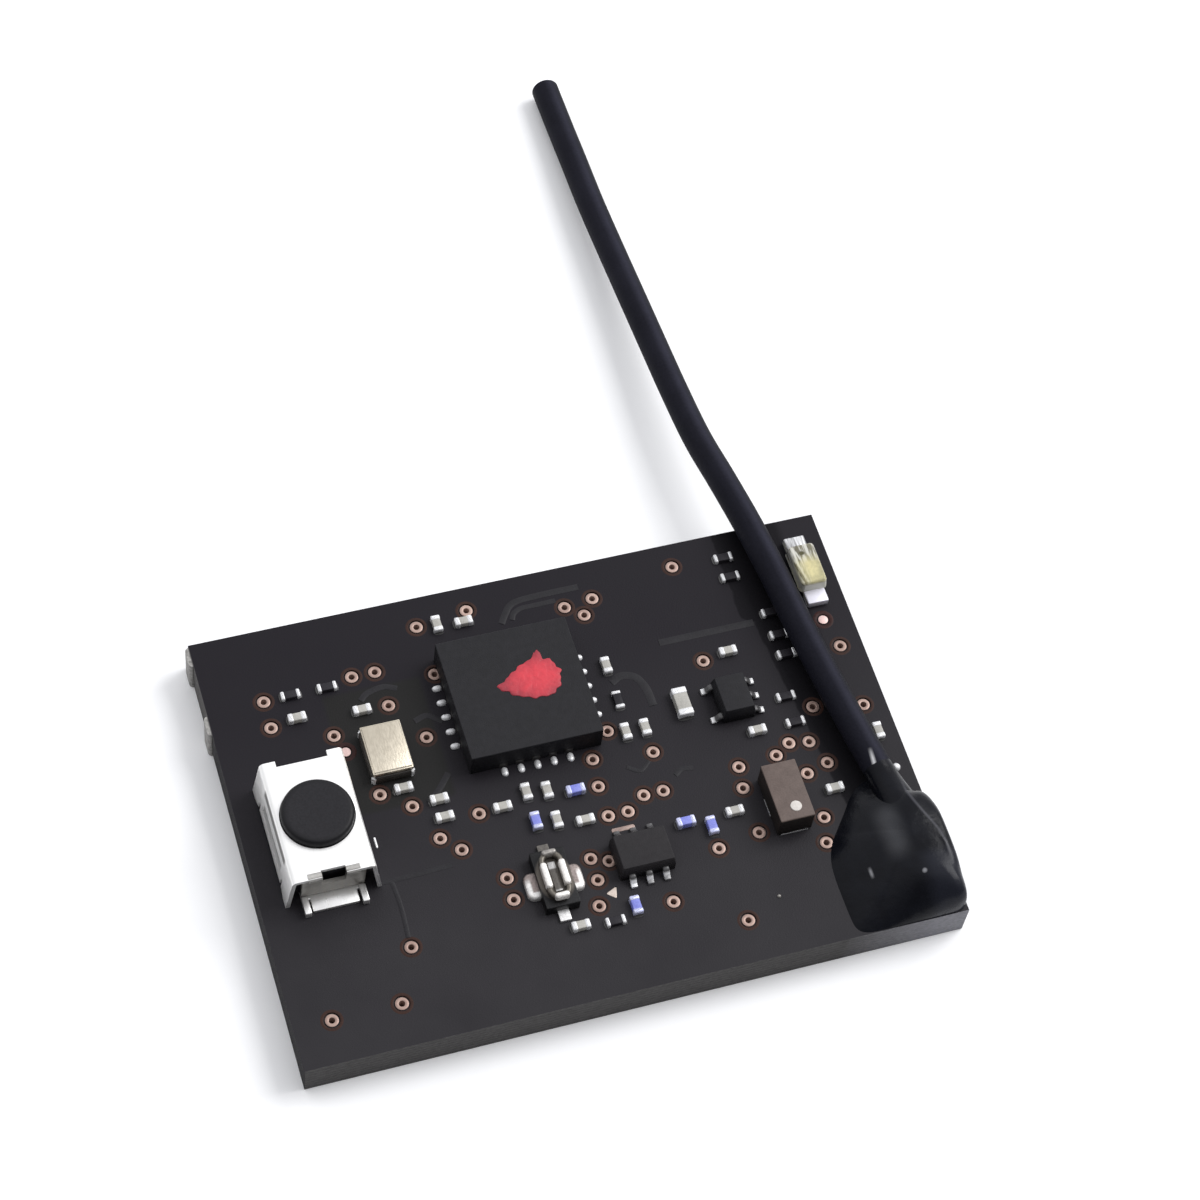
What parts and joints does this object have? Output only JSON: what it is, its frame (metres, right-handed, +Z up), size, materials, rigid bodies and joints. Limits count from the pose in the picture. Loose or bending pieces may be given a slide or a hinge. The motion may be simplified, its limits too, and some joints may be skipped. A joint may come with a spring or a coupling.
{
  "type": "radio receiver module",
  "caption": "Small black circuit board with a radio chip, a push switch, surface-mounted parts and a sleeved wire aerial glued to one corner.",
  "frame": {"origin": "middle of the board's underside", "axes": "+X to the right along the board's front edge, +Y from the front edge to the back edge, +Z up from the underside to the parts"},
  "size_m": [0.0197, 0.033, 0.0029],
  "materials": {
    "mask": "satin black solder mask on laminate",
    "copper": "bare copper",
    "solder": "bright tinned",
    "steel": "bright rolled sheet",
    "moulding": "fine matt",
    "button": "satin",
    "red_paint": "hand-dabbed marker paint",
    "dark_ceramic": "matt",
    "lid_metal": "warm satin plating",
    "brown_ceramic": "matt",
    "white_paint": "printed dot",
    "white_laminate": "matt",
    "clear_resin": "clear resin",
    "pale_ceramic": "satin",
    "black_glaze": "glazed",
    "blue_ceramic": "satin",
    "sleeve": "satin sleeve",
    "glue": "glossy set glue"
  },
  "bodies": {
    "module": {"circuit_board": "mask", "vias": "copper", "copper_marks": "copper", "solder_lands": "solder", "switch_base": "moulding", "switch_cover": "steel", "switch_dome": "steel", "switch_terminals": "steel", "radio_body": "moulding", "radio_contacts": "solder", "paint_dab": "red_paint", "crystal_base": "dark_ceramic", "crystal_lid": "lid_metal", "crystal_terminals": "solder", "regulator_body": "moulding", "regulator_leads": "solder", "aerial_switch_body": "moulding", "aerial_switch_leads": "solder", "filter_body": "brown_ceramic", "filter_lands": "solder", "filter_dot": "white_paint", "socket_base": "moulding", "socket_shell": "steel", "socket_contacts": "solder", "light_base": "white_laminate", "light_lens": "clear_resin", "light_die_chip": "copper", "light_terminals": "solder", "capacitor_bodies": "pale_ceramic", "capacitor_ends": "solder", "resistor_bodies": "black_glaze", "resistor_ends": "solder", "inductor_bodies": "blue_ceramic", "inductor_ends": "solder", "large_capacitor_body": "pale_ceramic", "large_capacitor_ends": "solder", "solder": "solder", "aerial_sleeve": "sleeve", "aerial_core": "copper", "aerial_solder": "solder", "glue": "glue"},
    "button": {"switch_button": "button"}
  },
  "joints": [
    {"name": "button_press", "type": "slide", "parent": "module", "child": "button", "axis": [0, 0, -1], "range_m": [0, 0.0002], "stiffness_N_per_m": 50, "deforming": ["switch_dome"]}
  ]
}
